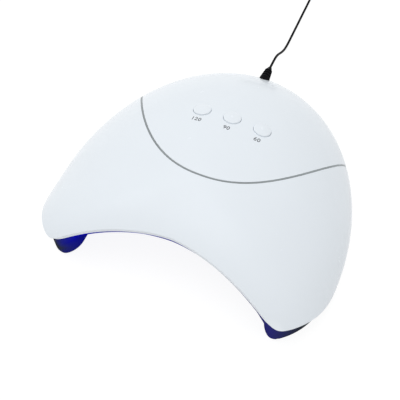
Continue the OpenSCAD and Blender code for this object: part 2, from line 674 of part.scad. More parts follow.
// Lead inside the lamp: through the clamp and over the liner's back to its socket
module inner_lead() {
    function socket_line(y) = board_point(lead_socket_at[0], board_top + socket_mid, lead_socket_at[1] + y);
    from = [0, clamp_y - clamp_l / 2 - lead_d, lead_z];
    pull = 6 * lead_d;
    ahead = 4 * lead_d;
    color(black) tube(concat([[0, seat_y - relief_flange, lead_z]],
        [for (t = [0:0.1:1]) curve(from, from - [0, pull, 0],
            socket_line(ahead + pull), socket_line(ahead), t)],
        [socket_line(2 * lead_d), socket_line(lead_d)]), lead_d / 2, 8);
}

// Free lead, counted from the lamp's middle: level out of the strain relief, down to the table and along it
lead_start = [0, lead_y - middle_y + relief_l + relief_cone, lead_z];
lead_drop = [[0, 87, 16], [0, 91, 15.9], [0, 95, 15.4], [0, 99, 14], [0, 103, 11.6], [0, 107, 8.8],
    [0, 111, 6.1], [0, 115, 3.8], [0, 119, 2.1], [0, 123, 1.2], [0, 127, 0.9]];
lead_run = [for (y = [131:4:179]) [0, y, 0.85]];
lead_rise = [[0, 183, 1.1], [0, 187, coil_z]];
coil_start = [coil_middle[0] + coil_r, coil_middle[1] - lead_d, coil_z];
module lead() {
    color(black) tube(concat([lead_start], lead_drop, lead_run, lead_rise, [coil_start]), lead_d / 2, 8);
}

// Coil: it spirals in and out again layer by layer, and climbs in the half turn where it reverses
turns = coil_loops / coil_layers;
function coil_in(t) = turns - abs(t % (2 * turns) - turns);
function coil_height(t) = let (climbs = [for (k = [1:coil_layers - 1]) clamp01(2 * (t - k * turns) + 0.5)])
    coil_z + coil_pitch * (climbs * [for (c = climbs) 1]);
function coil_point(t) = let (r = coil_r - coil_pitch * coil_in(t))
    [coil_middle[0] + r * cos(360 * t), coil_middle[1] + r * sin(360 * t), coil_height(t)];
coil_end = coil_point(coil_loops) + [0, lead_d, 0];
coil_points = concat([coil_start],
    [for (i = [0:coil_loops * coil_steps]) coil_point(i / coil_steps)], [coil_end]);
module lead_coil() {
    n = len(coil_points);
    gap = min([for (i = [0:n - 1]) for (j = [i + coil_steps / 2:1:n - 1])
        norm(coil_points[i] - coil_points[j])]) - lead_d;
    echo(least_gap_between_loops = gap);
    color(black) tube(coil_points, lead_d / 2, 6);
}
// Tie: a flat band round all loops on the coil's left side
module lead_tie() {
    inner = coil_r - turns * coil_pitch - lead_d / 2 - 0.4;
    outer = coil_r + lead_d / 2 + tie_gap;
    low = coil_z - lead_d / 2 - tie_gap + 0.1;
    high = coil_height(coil_loops) + lead_d / 2 + tie_gap;
    color([0.15, 0.15, 0.16]) translate([coil_middle[0], coil_middle[1] + tie_w / 2, 0]) rotate([90, 0, 0])
        linear_extrude(tie_w) difference() {
            translate([-outer - tie_t, low - tie_t])
                square([outer - inner + 2 * tie_t, high - low + 2 * tie_t]);
            translate([-outer, low]) square([outer - inner, high - low]);
        }
}
module lead_tail() {
    color(black) tube(concat([coil_end],
        [[0, 198, 7.5], [-0.8, 201.5, 7.2], [-2.8, 205, 6.6], [-6, 208.3, 5.7],
        [-10, 210.7, 4.8], [-14, 211.8, 4.1], [-18, 212, 3.9]], [plug_at]), lead_d / 2, 8);
}
// Flat plug beside the coil, lying on the table with its open end to -X
module plug() {
    translate(plug_at) rotate([0, 0, 180]) children();
}
module plug_grip() {
    color(black) plug() difference() {
        union() {
            rotate([0, 90, 0]) cylinder(r1 = lead_d / 2 + 0.5, r2 = 2.6, h = grip_neck);
            translate([grip_neck, -grip_w / 2, -grip_h / 2]) linear_extrude(grip_h) polygon([[0, 3], [2, 0],
                [grip_l, 0], [grip_l, grip_w], [2, grip_w], [0, grip_w - 3]]);
        }
        for (s = [-1, 1]) for (i = [0:2]) translate([grip_neck + 6 + 3 * i, -5, s * (grip_h / 2) - 0.3])
            cube([1.2, 10, 0.6]);
    }
}
module plug_shell() {
    color("silver") plug() translate([grip_neck + grip_l, 0, 0]) difference() {
        translate([0, -shell_w / 2, -shell_h / 2]) cube([shell_l, shell_w, shell_h]);
        translate([-1, shell_t - shell_w / 2, shell_t - shell_h / 2])
            cube([shell_l + 2, shell_w - 2 * shell_t, shell_h - 2 * shell_t]);
        for (s = [-1, 1]) translate([5, s * 2.9 - 1.1, -shell_h]) cube([2.2, 2.2, 2 * shell_h]);
    }
}
module plug_tongue() {
    color([0.9, 0.9, 0.9]) plug() translate([grip_neck + grip_l, 0, 0])
        translate([0, fit + shell_t - shell_w / 2, shell_h / 2 - shell_t - fit - tongue_t])
        cube([shell_l - 0.6, shell_w - 2 * shell_t - 2 * fit, tongue_t]);
}

lamp() base_frame();
lamp() reflector();
lamp() front_shell();
lamp() rear_cover();
lamp() seam_strip();
lamp() button(-1);  // button_120
lamp() button(0);  // button_90
lamp() button(1);  // button_60
lamp() plunger(-1);  // plunger_120
lamp() plunger(0);  // plunger_90
lamp() plunger(1);  // plunger_60
lamp() switch_case(-1);  // switch_120
lamp() switch_case(0);  // switch_90
lamp() switch_case(1);  // switch_60
lamp() control_board();
lamp() controller_chip();
lamp() driver_coil();
lamp() capacitor();
lamp() lead_socket();
lamp() strip_socket();
lamp() strip(0);  // strip_middle
lamp() strip(-1);  // strip_left
lamp() strip(1);  // strip_right
lamp() diodes(0);  // diodes_middle
lamp() diodes(-1);  // diodes_left
lamp() diodes(1);  // diodes_right
lamp() wire(0);  // wire_middle
lamp() wire(-1);  // wire_left
lamp() wire(1);  // wire_right
lamp() strip_screws();
lamp() board_screws();
lamp() case_screws();
lamp() clamp_screws();
lamp() lead_clamp();
lamp() foot(front_pad(-1));  // foot_front_left
lamp() foot(front_pad(1));  // foot_front_right
lamp() foot(back_pad(-1));  // foot_back_left
lamp() foot(back_pad(1));  // foot_back_right
lamp() strain_relief();
lamp() inner_lead();
lead();
lead_coil();
lead_tie();
lead_tail();
plug_grip();
plug_shell();
plug_tongue();
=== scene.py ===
"""Looks of the ultraviolet nail lamp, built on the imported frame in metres."""

import json
import math

import bmesh
import bpy
import numpy as np
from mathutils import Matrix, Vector

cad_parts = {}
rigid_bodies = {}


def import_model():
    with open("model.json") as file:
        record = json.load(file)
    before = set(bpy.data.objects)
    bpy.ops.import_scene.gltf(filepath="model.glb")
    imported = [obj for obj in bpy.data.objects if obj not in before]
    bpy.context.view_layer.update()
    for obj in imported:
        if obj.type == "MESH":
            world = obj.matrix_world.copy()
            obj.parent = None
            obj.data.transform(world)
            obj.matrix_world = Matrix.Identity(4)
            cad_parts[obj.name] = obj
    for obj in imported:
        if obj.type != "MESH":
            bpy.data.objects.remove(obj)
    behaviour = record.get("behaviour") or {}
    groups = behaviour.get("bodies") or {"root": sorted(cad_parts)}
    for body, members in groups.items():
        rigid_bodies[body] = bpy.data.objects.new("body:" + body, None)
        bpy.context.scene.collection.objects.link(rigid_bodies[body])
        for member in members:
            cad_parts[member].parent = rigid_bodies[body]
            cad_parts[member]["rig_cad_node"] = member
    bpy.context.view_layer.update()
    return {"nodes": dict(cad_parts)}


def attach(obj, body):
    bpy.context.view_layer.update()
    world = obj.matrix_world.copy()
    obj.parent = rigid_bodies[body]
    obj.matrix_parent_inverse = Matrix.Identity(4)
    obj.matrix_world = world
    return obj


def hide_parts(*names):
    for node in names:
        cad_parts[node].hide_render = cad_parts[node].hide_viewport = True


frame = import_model()
MM = 0.001
# distances in metres under which two vertices are one, and an edge has no length
SAME_PLACE, NO_LENGTH = 1e-6, 1e-7
# radius in mm that stands for the axis in turned profiles
AXIS = 0.001

# camera
camera_data = bpy.data.cameras.new("camera")
camera_data.lens = 56.1
camera_data.sensor_width = 36
camera_data.clip_start = 0.01
camera_data.clip_end = 20
camera = bpy.data.objects.new("camera", camera_data)
camera.location = (0.07053, -0.1897, 0.31625)
aim = Vector((-0.00554, -0.015163, 0)) - camera.location
camera.rotation_mode = "QUATERNION"
camera.rotation_quaternion = aim.to_track_quat("-Z", "Y")
bpy.context.scene.collection.objects.link(camera)
bpy.context.scene.camera = camera
bpy.context.scene.view_settings.view_transform = "Standard"

# sizes in mm, angles and exponents, as in the source
HALF_W, BACK_REACH, FRONT_REACH = 85.0, 113.5, 60.0
BACK_SQUARE, FRONT_SQUARE, FOOT_SQUARE, TIP_BLEND = 2, 5, 2.75, 20
DOME_H, RIM_Z, CROWN_FALL, CROWN_ROUND = 42.5, 6.5, 1.85, 1.6
WALL, NOTCH_Y, NOTCH_SAG, NOTCH_POWER = 2.0, 31.0, 29.8, 1.64
FOOT_REACH, HAND_H, HAND_HALF, HAND_REACH, HAND_DROP, CORNER_R = 61.5, 35.5, 55.0, 88.0, 6.0, 11.0
FRONT_FALL, FRONT_ROUND, BACK_FALL, BACK_ROUND = 5, 1.7, 3, 1.4
FALL_FROM, DROP_FROM, DROP_TO = 28, 15, 60
LINER_T, PAD_H, FRAME_WALL, FRAME_LAP = 1.6, 0.8, 1.8, 2.4
SEAM_Y, SEAM_RISE, SEAM_POWER, SEAM_DEPTH = 4.6, 105.0, 2.15, 2.3
BUTTON_Y, BUTTON_PITCH, BUTTON_R, BUTTON_PROUD = 50.0, 18.0, 5.0, 1.2
TILT = math.radians(13.5)
FIT, PLATE_TOP, FRAME_INSET, LINER_INSET, FLANGE_X = 0.1, 2.8, 2.9, 2.4, 80.0
BOSS_R, BOSS_IN, BOSS_BORE, BOSS_TOP = 2.8, 8, 1.22, RIM_Z + FRAME_LAP + 2.1
FRONT_BOSS_Y, BACK_BOSS_ANGLE = -8, math.radians(62)
SLEEVE_WALL, COLLAR_TOP, COLLAR_T, COLLAR_OUT = 1.5, -4.8, 0.8, 0.6
POST_X, POST_R = 26, 2.2
MIDDLE_Y = 32.833
LEAD_Z, RELIEF_R, RELIEF_TIP_R, RELIEF_L, RELIEF_CONE = 16.0, 3.3, 2.4, 7.5, 2.8
LEAD_R = 0.8
# a narrower seam strip, narrower gaps round the caps and flatter caps than in the source
SEAM_W, BUTTON_GAP, BUTTON_CROWN = 1.0, 0.15, 0.6
# how far the liner's inner lip stands back at the arch's middle, as a share of its sheet
LIP_BACK = 0.6
# degrees that each cover's rim stops short of the seam's end
SEAM_SHORT = 0.6
# share of the front cover's border that is the front edge
FRONT_SHARE = 0.6
# steps of a search by halving
HALVINGS = 40


# shape of the lamp
def norm_p(a, b, n):
    return (np.abs(a) ** n + np.abs(b) ** n) ** (1 / n)


def clamp01(v):
    return np.clip(v, 0, 1)


def smooth(a, b, v):
    t = clamp01((v - a) / (b - a))
    return t * t * (3 - 2 * t)


def mix(p, q, t):
    return p + (q - p) * t


def foot_y(x, inset):
    inside = np.maximum(1 - np.abs(x / (HALF_W - inset)) ** FOOT_SQUARE, 0)
    return (FOOT_REACH - inset) * inside ** (1 / FOOT_SQUARE)


def edge_y(x, inset):
    """How far the front edge lies before the widest place: the notch, blended with the feet's outline."""
    foot = foot_y(x, inset)
    notch = NOTCH_Y + NOTCH_SAG * np.abs(x / HALF_W) ** NOTCH_POWER
    least = 0.01
    return np.where(foot < least, 0, 1 / norm_p(1 / notch, 1 / np.maximum(foot, least), TIP_BLEND))


def dome_rho(x, y, inset):
    """Place between the dome's middle, 0, and its rim, 1."""
    w = HALF_W - inset
    back = norm_p(x / w, y / (BACK_REACH - inset), BACK_SQUARE)
    front = norm_p(x / w, y / (FRONT_REACH - inset), FRONT_SQUARE)
    return np.where(y > 0, back, front)


def dome_z(x, y, inset=0.0):
    rho = clamp01(dome_rho(x, y, inset))
    return RIM_Z + (DOME_H - inset) * (1 - rho ** CROWN_FALL) ** (1 / CROWN_ROUND)


def seam_point(x, shift):
    """A point of the seam's middle line in plan, moved back by shift across the line."""
    slope = np.sign(x) * SEAM_RISE * SEAM_POWER * np.abs(x / HALF_W) ** (SEAM_POWER - 1) / HALF_W
    length = np.hypot(slope, 1)
    y = SEAM_Y + SEAM_RISE * np.abs(x / HALF_W) ** SEAM_POWER
    return np.stack([x - shift * slope / length, y + shift / length], -1)


def seam_end(shift, inset):
    """The seam's x where it meets the rim, found by halving."""
    lo, hi = 0.0, HALF_W - inset
    for _ in range(HALVINGS):
        m = (lo + hi) / 2
        p = seam_point(np.array(m), shift)
        lo, hi = (m, hi) if dome_rho(p[0], p[1], inset) < 1 else (lo, m)
    return lo


def seam_angle(shift, inset):
    p = seam_point(np.array(seam_end(shift, inset)), shift)
    return math.degrees(math.acos(min(abs(p[0]) / (HALF_W - inset), 1)))


def front_border(u, inset, last):
    """The front cover's border in plan at u from -1 to 1, up to the angle last behind the widest place."""
    s, v = np.sign(u), np.abs(u)
    x = (HALF_W - inset) * np.sin(np.radians(90 * np.minimum(v / FRONT_SHARE, 1)))
    a = np.radians(last * np.maximum(v - FRONT_SHARE, 0) / (1 - FRONT_SHARE))
    at_front = v <= FRONT_SHARE
    px = np.where(at_front, x, (HALF_W - inset) * np.cos(a))
    py = np.where(at_front, -edge_y(x, inset), (BACK_REACH - inset) * np.sin(a))
    return np.stack([s * px, py], -1)


def back_border(u, inset, first):
    """The rear cover's border in plan at u from -1 to 1, from the angle first round to the other side."""
    a = np.radians(90 - u * (90 - first))
    return np.stack([(HALF_W - inset) * np.cos(a), (BACK_REACH - inset) * np.sin(a)], -1)


def cover_reach(z, inset):
    """Where the dome has the height z behind the middle, found by halving."""
    lo, hi = 0.0, BACK_REACH
    for _ in range(HALVINGS):
        m = (lo + hi) / 2
        lo, hi = (m, hi) if dome_z(np.array(0.0), np.array(m), inset) > z else (lo, m)
    return lo


LEAD_Y = cover_reach(LEAD_Z, 0)
SEAT_R = RELIEF_R + 1.6
SEAT_Y = cover_reach(LEAD_Z + SEAT_R, WALL) - 0.3


def hand_z(x, y, out):
    """Height of the hand space's ceiling, out from its face by out."""
    back = norm_p(x / (HAND_HALF + out), y / (HAND_REACH + out), 2)
    rho = clamp01(np.where(y > 0, back, np.abs(x) / (HAND_HALF + out)))
    high = HAND_H - PLATE_TOP + out - HAND_DROP * smooth(DROP_FROM, DROP_TO, y)
    t = smooth(FALL_FROM, DROP_TO, y)
    fall = mix(FRONT_FALL, BACK_FALL, t)
    roundness = mix(FRONT_ROUND, BACK_ROUND, t)
    return PLATE_TOP + high * (1 - rho ** fall) ** (1 / roundness)


# height of the cover where the button row's plane touches it, at the middle button
TOP_Z = float(dome_z(np.array(0.0), np.array(BUTTON_Y)))


def on_board(x, y, d):
    """A point on the button row's plane: x along the row, y back down its slope, d out from the cover."""
    c, s = math.cos(TILT), math.sin(TILT)
    return np.stack([x + 0 * d, BUTTON_Y + y * c + d * s - MIDDLE_Y, TOP_Z - y * s + d * c], -1)


def side_drop(x):
    """How far the cover lies under the button row's plane at x."""
    return (TOP_Z - float(dome_z(np.array(float(x)), np.array(BUTTON_Y)))) * math.cos(TILT)


def side_lean(x):
    """Angle at which the cover falls away sideways at x."""
    z = [float(dome_z(np.array(float(x + k)), np.array(BUTTON_Y))) for k in (-1, 1)]
    return math.atan((z[0] - z[1]) / 2 * math.cos(TILT))


# meshes
def link(name, mesh, body="housing"):
    """A new object in the scene, which rides on a body if one is named."""
    obj = bpy.data.objects.new(name, mesh)
    bpy.context.scene.collection.objects.link(obj)
    if body:
        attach(obj, body)
    return obj


def mesh_of(name, points, faces, smooth_over=math.radians(35)):
    """A closed mesh from points in mm, with its faces turned outward."""
    mesh = bpy.data.meshes.new(name)
    mesh.from_pydata((np.asarray(points, float) * MM).tolist(), [], faces)
    bm = bmesh.new()
    bm.from_mesh(mesh)
    bmesh.ops.remove_doubles(bm, verts=bm.verts, dist=SAME_PLACE)
    bmesh.ops.dissolve_degenerate(bm, edges=bm.edges, dist=NO_LENGTH)
    bmesh.ops.recalc_face_normals(bm, faces=bm.faces)
    bm.to_mesh(mesh)
    bm.free()
    mesh.polygons.foreach_set("use_smooth", [True] * len(mesh.polygons))
    mesh.set_sharp_from_angle(angle=smooth_over)
    return mesh


def lofted(sections, closed=False):
    """Points and faces of a skin over sections of equal length, each section a closed ring."""
    m, n = len(sections), len(sections[0])
    points = np.concatenate([np.asarray(s, float) for s in sections])
    faces = []
    for i in range(m if closed else m - 1):
        a, b = i * n, (i + 1) % m * n
        faces += [[a + k, a + (k + 1) % n, b + (k + 1) % n, b + k] for k in range(n)]
    if not closed:
        faces += [list(range(n)), [(m - 1) * n + k for k in range(n)][::-1]]
    return points, faces


def revolved(profile, place, sides=64):
    """Points and faces of a profile of (r, d) turned about an axis; place maps x, y and d to a point."""
    a = np.linspace(0, 2 * math.pi, sides, endpoint=False)
    rings = [place(r * np.cos(a), r * np.sin(a), d + 0 * a) for r, d in np.array(profile, float)]
    return lofted(rings)


def upright(at):
    """Places a turned profile round an upright axis through at."""
    return lambda x, y, d: np.stack([x + at[0], y + at[1] - MIDDLE_Y, d], -1)


def join(parts):
    """Several lots of points and faces as one."""
    points, faces, start = [], [], 0
    for p, f in parts:
        points.append(np.asarray(p, float))
        faces += [[k + start for k in face] for face in f]
        start += len(p)
    return np.concatenate(points), faces


def cut(obj, cutter_mesh):
    """Takes the cutter out of the piece for good."""
    cutter = bpy.data.objects.new("cutter", cutter_mesh)
    bpy.context.scene.collection.objects.link(cutter)
    modifier = obj.modifiers.new("cut", "BOOLEAN")
    modifier.operation = "DIFFERENCE"
    modifier.solver = "EXACT"
    modifier.object = cutter
    bpy.context.view_layer.update()
    graph = bpy.context.evaluated_depsgraph_get()
    mesh = bpy.data.meshes.new_from_object(obj.evaluated_get(graph))
    obj.modifiers.clear()
    old = obj.data
    obj.data = mesh
    mesh.name = old.name + "_cut"
    bpy.data.meshes.remove(old)
    bpy.data.objects.remove(cutter)


def softened(obj, width, segments=3, angle=40):
    """Rounds a piece's hard edges by width, in mm."""
    weld = obj.modifiers.new("weld", "WELD")
    weld.merge_threshold = 2 * SAME_PLACE
    bevel = obj.modifiers.new("edges", "BEVEL")
    bevel.width = width * MM
    bevel.segments = segments
    bevel.limit_method = "ANGLE"
    bevel.angle_limit = math.radians(angle)
    bevel.harden_normals = True


def spaced(points, places):
    """Points at distances along a polyline; places maps its length to a list of distances."""
    step = np.linalg.norm(np.diff(points, axis=0), axis=1)
    along = np.concatenate([[0], np.cumsum(step)])
    at = places(along[-1])
    return np.stack([np.interp(at, along, points[:, k]) for k in range(3)], -1)


def round_corner(a, corner, b, steps=4):
    """Points on a curve from a to b that the corner pulls out."""
    t = np.linspace(0, 1, steps + 1)[:, None]
    return (1 - t) ** 2 * a + 2 * t * (1 - t) * corner + t ** 2 * b


def cover_sections(seam_shift, border, columns, rows, inner_rows, edge_r=0.4, seam_r=0.22):
    """Rings round a cover's wall, one for each column, with its four edges rounded."""

    def places(length, n):
        a, b = min(seam_r, length / 5), min(edge_r, length / 5)
        return np.concatenate([[0], np.linspace(a, length - b, n), [length]])

    def toward(p, q, r):
        d = q - p
        length = np.linalg.norm(d)
        return p + d / max(length, 1e-9) * min(r, length / 3)

    u = np.linspace(-1, 1, 2 * columns + 1)
    samples = 300
    t = 1 - (1 - np.linspace(0, 1, samples)) ** 2
    lines = []
    for inset in (0.0, WALL):
        reach = seam_end(seam_shift, inset)
        p = seam_point(reach * np.sin(np.pi / 2 * u), seam_shift)
        q = border(u, inset)
        plan = p[:, None] + (q - p)[:, None] * t[None, :, None]
        z = dome_z(plan[..., 0], plan[..., 1], inset)
        lines.append(np.concatenate([plan, z[..., None]], -1))
    rings = []
    for outer, inner in zip(*lines):
        o = spaced(outer, lambda length: places(length, rows))
        i = spaced(inner, lambda length: places(length, inner_rows))
        ring = [o[1:-1],
                round_corner(o[-2], o[-1], toward(o[-1], i[-1], edge_r))[1:],
                round_corner(toward(i[-1], o[-1], seam_r), i[-1], i[-2])[:-1],
                i[-2:0:-1],
                round_corner(i[1], i[0], toward(i[0], o[0], seam_r))[1:],
                round_corner(toward(o[0], i[0], seam_r), o[0], o[1])[:-1]]
        rings.append(np.concatenate(ring) - [0, MIDDLE_Y, 0])
    return rings


def dome_normals(mesh):
    """Gives the dome's own normals to the faces that lie on its outside, away from its rim."""
    near_mm, least_cos, rim_rho, h = 0.06, 0.97, 0.985, 0.05
    count = len(mesh.loops)
    normals = np.zeros(count * 3)
    mesh.corner_normals.foreach_get("vector", normals)
    normals = normals.reshape(-1, 3)
    points = np.zeros(len(mesh.vertices) * 3)
    mesh.vertices.foreach_get("co", points)
    points = points.reshape(-1, 3) / MM + [0, MIDDLE_Y, 0]
    corner = np.zeros(count, int)
    mesh.loops.foreach_get("vertex_index", corner)
    face_of = np.repeat(np.arange(len(mesh.polygons)), [p.loop_total for p in mesh.polygons])
    face_n = np.array([p.normal for p in mesh.polygons])
    x, y, z = points[corner].T
    slope_x = (dome_z(x + h, y) - dome_z(x - h, y)) / (2 * h)
    slope_y = (dome_z(x, y + h) - dome_z(x, y - h)) / (2 * h)
    n = np.stack([-slope_x, -slope_y, np.ones_like(x)], -1)
    n /= np.linalg.norm(n, axis=1)[:, None]
    near = np.abs(z - dome_z(x, y)) * n[:, 2] < near_mm
    aligned = (n * face_n[face_of]).sum(1) > least_cos
    open_dome = dome_rho(x, y, 0) < rim_rho
    use = near & aligned & open_dome
    bad = np.zeros(len(mesh.polygons), bool)
    np.logical_or.at(bad, face_of, ~(near & open_dome))
    use &= ~bad[face_of]
    normals[use] = n[use]
    mesh.normals_split_custom_set(normals.tolist())


# materials
class Nodes:
    """Short ways to build one material's nodes."""

    def __init__(self, name):
        self.material = bpy.data.materials.new(name)
        self.material.use_nodes = True
        self.tree = self.material.node_tree
        self.shader = self.tree.nodes["Principled BSDF"]
        self.coords = self.tree.nodes.new("ShaderNodeTexCoord").outputs["Object"]

    def set(self, **values):
        for name, value in values.items():
            self.shader.inputs[name.replace("_", " ")].default_value = value
        return self

    def into(self, name, output):
        self.tree.links.new(output, self.shader.inputs[name])
        return self

    def node(self, kind, inputs=None, **settings):
        node = self.tree.nodes.new(kind)
        for key, value in settings.items():
            setattr(node, key, value)
        for key, value in (inputs or {}).items():
            if isinstance(value, bpy.types.NodeSocket):
                self.tree.links.new(value, node.inputs[key])
            else:
                node.inputs[key].default_value = value
        return node

    def noise(self, scale, detail=2.0, stretch=None, rough=0.5):
        at = self.coords
        if stretch:
            at = self.node("ShaderNodeMapping", {"Vector": at, "Scale": stretch}).outputs[0]
        return self.node("ShaderNodeTexNoise", {
            "Vector": at, "Scale": scale, "Detail": detail, "Roughness": rough}).outputs[0]

    def range(self, value, lo, hi, start=0.3, end=0.7):
        return self.node("ShaderNodeMapRange", {
            "Value": value, "From Min": start, "From Max": end, "To Min": lo, "To Max": hi}).outputs[0]

    def blend(self, factor, a, b):
        node = self.node("ShaderNodeMix", data_type="RGBA")
        for key, value in (("Factor", factor), ("A", a), ("B", b)):
            socket = [s for s in node.inputs if s.name == key and
                      (key == "Factor" or s.type == "RGBA")][0]
            if isinstance(value, bpy.types.NodeSocket):
                self.tree.links.new(value, socket)
            else:
                socket.default_value = value if key == "Factor" else (*value[:3], 1)
        return [s for s in node.outputs if s.type == "RGBA"][0]

    def math(self, operation, a, b=0.0):
        node = self.node("ShaderNodeMath", operation=operation)
        for k, value in enumerate((a, b)):
            if isinstance(value, bpy.types.NodeSocket):
                self.tree.links.new(value, node.inputs[k])
            else:
                node.inputs[k].default_value = value
        return node.outputs[0]

    def bump(self, height, distance, strength=1.0, below=None):
        inputs = {"Height": height, "Distance": distance, "Strength": strength}
        if below:
            inputs["Normal"] = below
        return self.node("ShaderNodeBump", inputs).outputs[0]


def plastic(name, colour, roughness, grain=2500, depth=0.000004, wave=0.0, vary=0.03, coat=0.0, rubbed_and_highlit=0.04,
            shine=0.5):
    """Moulded plastic: slight colour drift, uneven gloss, fine grain and slow waves from the mould."""
    n = Nodes(name)
    drift = n.range(n.noise(scale=22, detail=3), 0, 1)
    speck = n.range(n.noise(scale=900), 0, 1, start=0.35, end=0.65)
    low = [c * (1 - vary) for c in colour]
    high = [min(c * (1 + vary), 1) for c in colour]
    # Sharp edges turn lighter by pointiness: slight rubbing on most parts, and on the button caps, with the
    # large amount, a painted highlight round the rim.
    rubbed_and_highlit_colour = [min(c * 1.1 + 0.02, 1) for c in colour]
    edge = n.node("ShaderNodeNewGeometry").outputs["Pointiness"]
    edge_rubbed_and_highlit = n.range(edge, 0, rubbed_and_highlit, start=0.52, end=0.62)
    n.into("Base Color", n.blend(edge_rubbed_and_highlit, n.blend(drift, low, high), rubbed_and_highlit_colour))
    gloss = n.range(n.noise(scale=60, detail=4, rough=0.6), roughness * 0.82, roughness * 1.2)
    n.into("Roughness", n.math("ADD", gloss, n.math("MULTIPLY", speck, roughness * 0.08)))
    normal = n.bump(n.noise(scale=grain), depth)
    if wave:
        normal = n.bump(n.noise(scale=14, detail=1), wave, below=normal)
    n.into("Normal", normal)
    n.set(Coat_Weight=coat, Coat_Roughness=0.05, Specular_IOR_Level=shine)
    return n


def metal(name, colour, roughness, scratch=(40, 900, 40), depth=0.000003):
    """Plated or drawn metal with fine lines along one way."""
    n = Nodes(name)
    lines = n.noise(scale=1.0, detail=5, stretch=scratch, rough=0.6)
    stain = n.noise(scale=80, detail=3)
    n.into("Base Color", n.blend(n.range(stain, 0, 1), [c * 0.9 for c in colour], colour))
    n.into("Roughness", n.math("ADD", n.range(lines, roughness * 0.75, roughness * 1.3),
                               n.range(stain, 0, 0.05)))
    n.into("Normal", n.bump(lines, depth))
    n.set(Metallic=1.0)
    return n


WHITE = (0.80, 0.845, 0.89)
white = plastic("white_gloss", WHITE, 0.22, wave=0.00004, vary=0.008, coat=0.12)
# On the caps the strong edge lightening is a painted highlight round the rim.
button_white = plastic("white_button", WHITE, 0.2, vary=0.006, coat=0.2, rubbed_and_highlit=0.8)
rubber = plastic("black_rubber", (0.004, 0.004, 0.005), 0.6, grain=1800, depth=0.00001, vary=0.15,
                 shine=0.05)
lead_skin = plastic("black_lead", (0.005, 0.005, 0.006), 0.5, grain=1500, depth=0.000008, vary=0.15,
                    shine=0.05)
dark_plastic = plastic("dark_plastic", (0.02, 0.02, 0.022), 0.4, vary=0.1)
cream = plastic("cream_plastic", (0.72, 0.69, 0.58), 0.45, vary=0.04)
strip_metal = metal("strip_metal", (0.32, 0.35, 0.36), 0.3, scratch=(300, 300, 300))
steel = metal("plated_steel", (0.62, 0.61, 0.59), 0.28)
ink = plastic("grey_ink", (0.07, 0.075, 0.085), 0.5, grain=4000, vary=0.12)


def painted_blue_glow_plastic(name, front_only=False):
    """Dull dark plastic, dark grey at the feet's outer sides, with painted light near the hand space: a
    painted glow and reflection of the diodes' blue light, weaker towards +x as painted shade.
    """
    n = Nodes(name)
    middle_x, behind_y, ragged = 0.005, 0.1, 0.0022
    x, y, _ = n.node("ShaderNodeSeparateXYZ", {"Vector": n.coords}).outputs
    away = n.math("ABSOLUTE", n.math("SUBTRACT", x, middle_x))
    if front_only:
        away = n.math("MAXIMUM", away, n.math("ADD", y, behind_y))
    drift = n.math("MULTIPLY", n.range(n.noise(scale=90, detail=3), -1, 1), ragged)
    # Share of plain dark grey: the painted light fades out between 56 and 70 mm off the middle, with a
    # ragged border.
    beyond_painted_glow = n.range(n.math("ADD", away, drift), 0, 1, start=0.056, end=0.07)
    # Painted shade: the painted blue light and glow fall off towards +x.
    side = n.range(x, 0, 1, start=-0.02, end=0.045)
    # Painted light: the diodes' blue light and its reflection put into the colour, in two random tones.
    lit = n.blend(n.range(n.noise(scale=45), 0, 1), (0.002, 0.002, 0.26), (0.003, 0.004, 0.4))
    blue = n.blend(side, lit, (0.026, 0.026, 0.14))
    grey = n.blend(n.range(n.noise(scale=70, detail=3), 0, 1), (0.028, 0.034, 0.042), (0.045, 0.052, 0.06))
    # Painted glow: emission that stands in for the diodes' light on this part, which is no lamp.
    glow = n.blend(side, (0.001, 0.001, 0.09), (0.003, 0.003, 0.045))
    n.into("Base Color", n.blend(beyond_painted_glow, blue, grey))
    n.into("Roughness", n.range(n.noise(scale=160, detail=4), 0.2, 0.34))
    n.into("Normal", n.bump(n.noise(scale=700), 0.00001))
    n.into("Emission Color", n.blend(beyond_painted_glow, glow, (0, 0, 0)))
    n.set(Specular_IOR_Level=0.0, Emission_Strength=1.0)
    return n


# Liner and base both carry the painted blue light and glow; the base only at its front.
liner_painted_glow = painted_blue_glow_plastic("painted_blue_glow_plastic")
frame_dark = painted_blue_glow_plastic("frame_dark", front_only=True)


def paint(obj, look):
    """Gives a piece one look, and a piece of the scene its slot."""
    if obj.data.materials:
        for k in range(len(obj.data.materials)):
            obj.data.materials[k] = look.material
    else:
        obj.data.materials.append(look.material)


# lead
COIL_X, COIL_Y, COIL_R, COIL_PITCH, COIL_Z = -12.9, 193.0, 12.9, 2.05, 1.35
LOOPS, LAYERS, COIL_STEPS = 16, 4, 24
TURNS = LOOPS / LAYERS
lead_start = [0, LEAD_Y - MIDDLE_Y + RELIEF_L + RELIEF_CONE, LEAD_Z]
lead_drop = [[0, 87, 16], [0, 91, 15.9], [0, 95, 15.4], [0, 99, 14], [0, 103, 11.6], [0, 107, 8.8],
             [0, 111, 6.1], [0, 115, 3.8], [0, 119, 2.1], [0, 123, 1.2], [0, 127, 0.9]]
lead_run = [[0, y, 0.85] for y in range(131, 180, 4)] + [[0, 183, 1.1], [0, 187, COIL_Z]]


def coil_point(t):
    """The coil's middle line after t loops: in and out again layer by layer, climbing as it turns back."""
    r = COIL_R - COIL_PITCH * (TURNS - abs(t % (2 * TURNS) - TURNS))
    climbs = sum(min(max(2 * (t - k * TURNS) + 0.5, 0), 1) for k in range(1, LAYERS))
    a = 2 * math.pi * t
    return [COIL_X + r * math.cos(a), COIL_Y + r * math.sin(a), COIL_Z + COIL_PITCH * climbs]


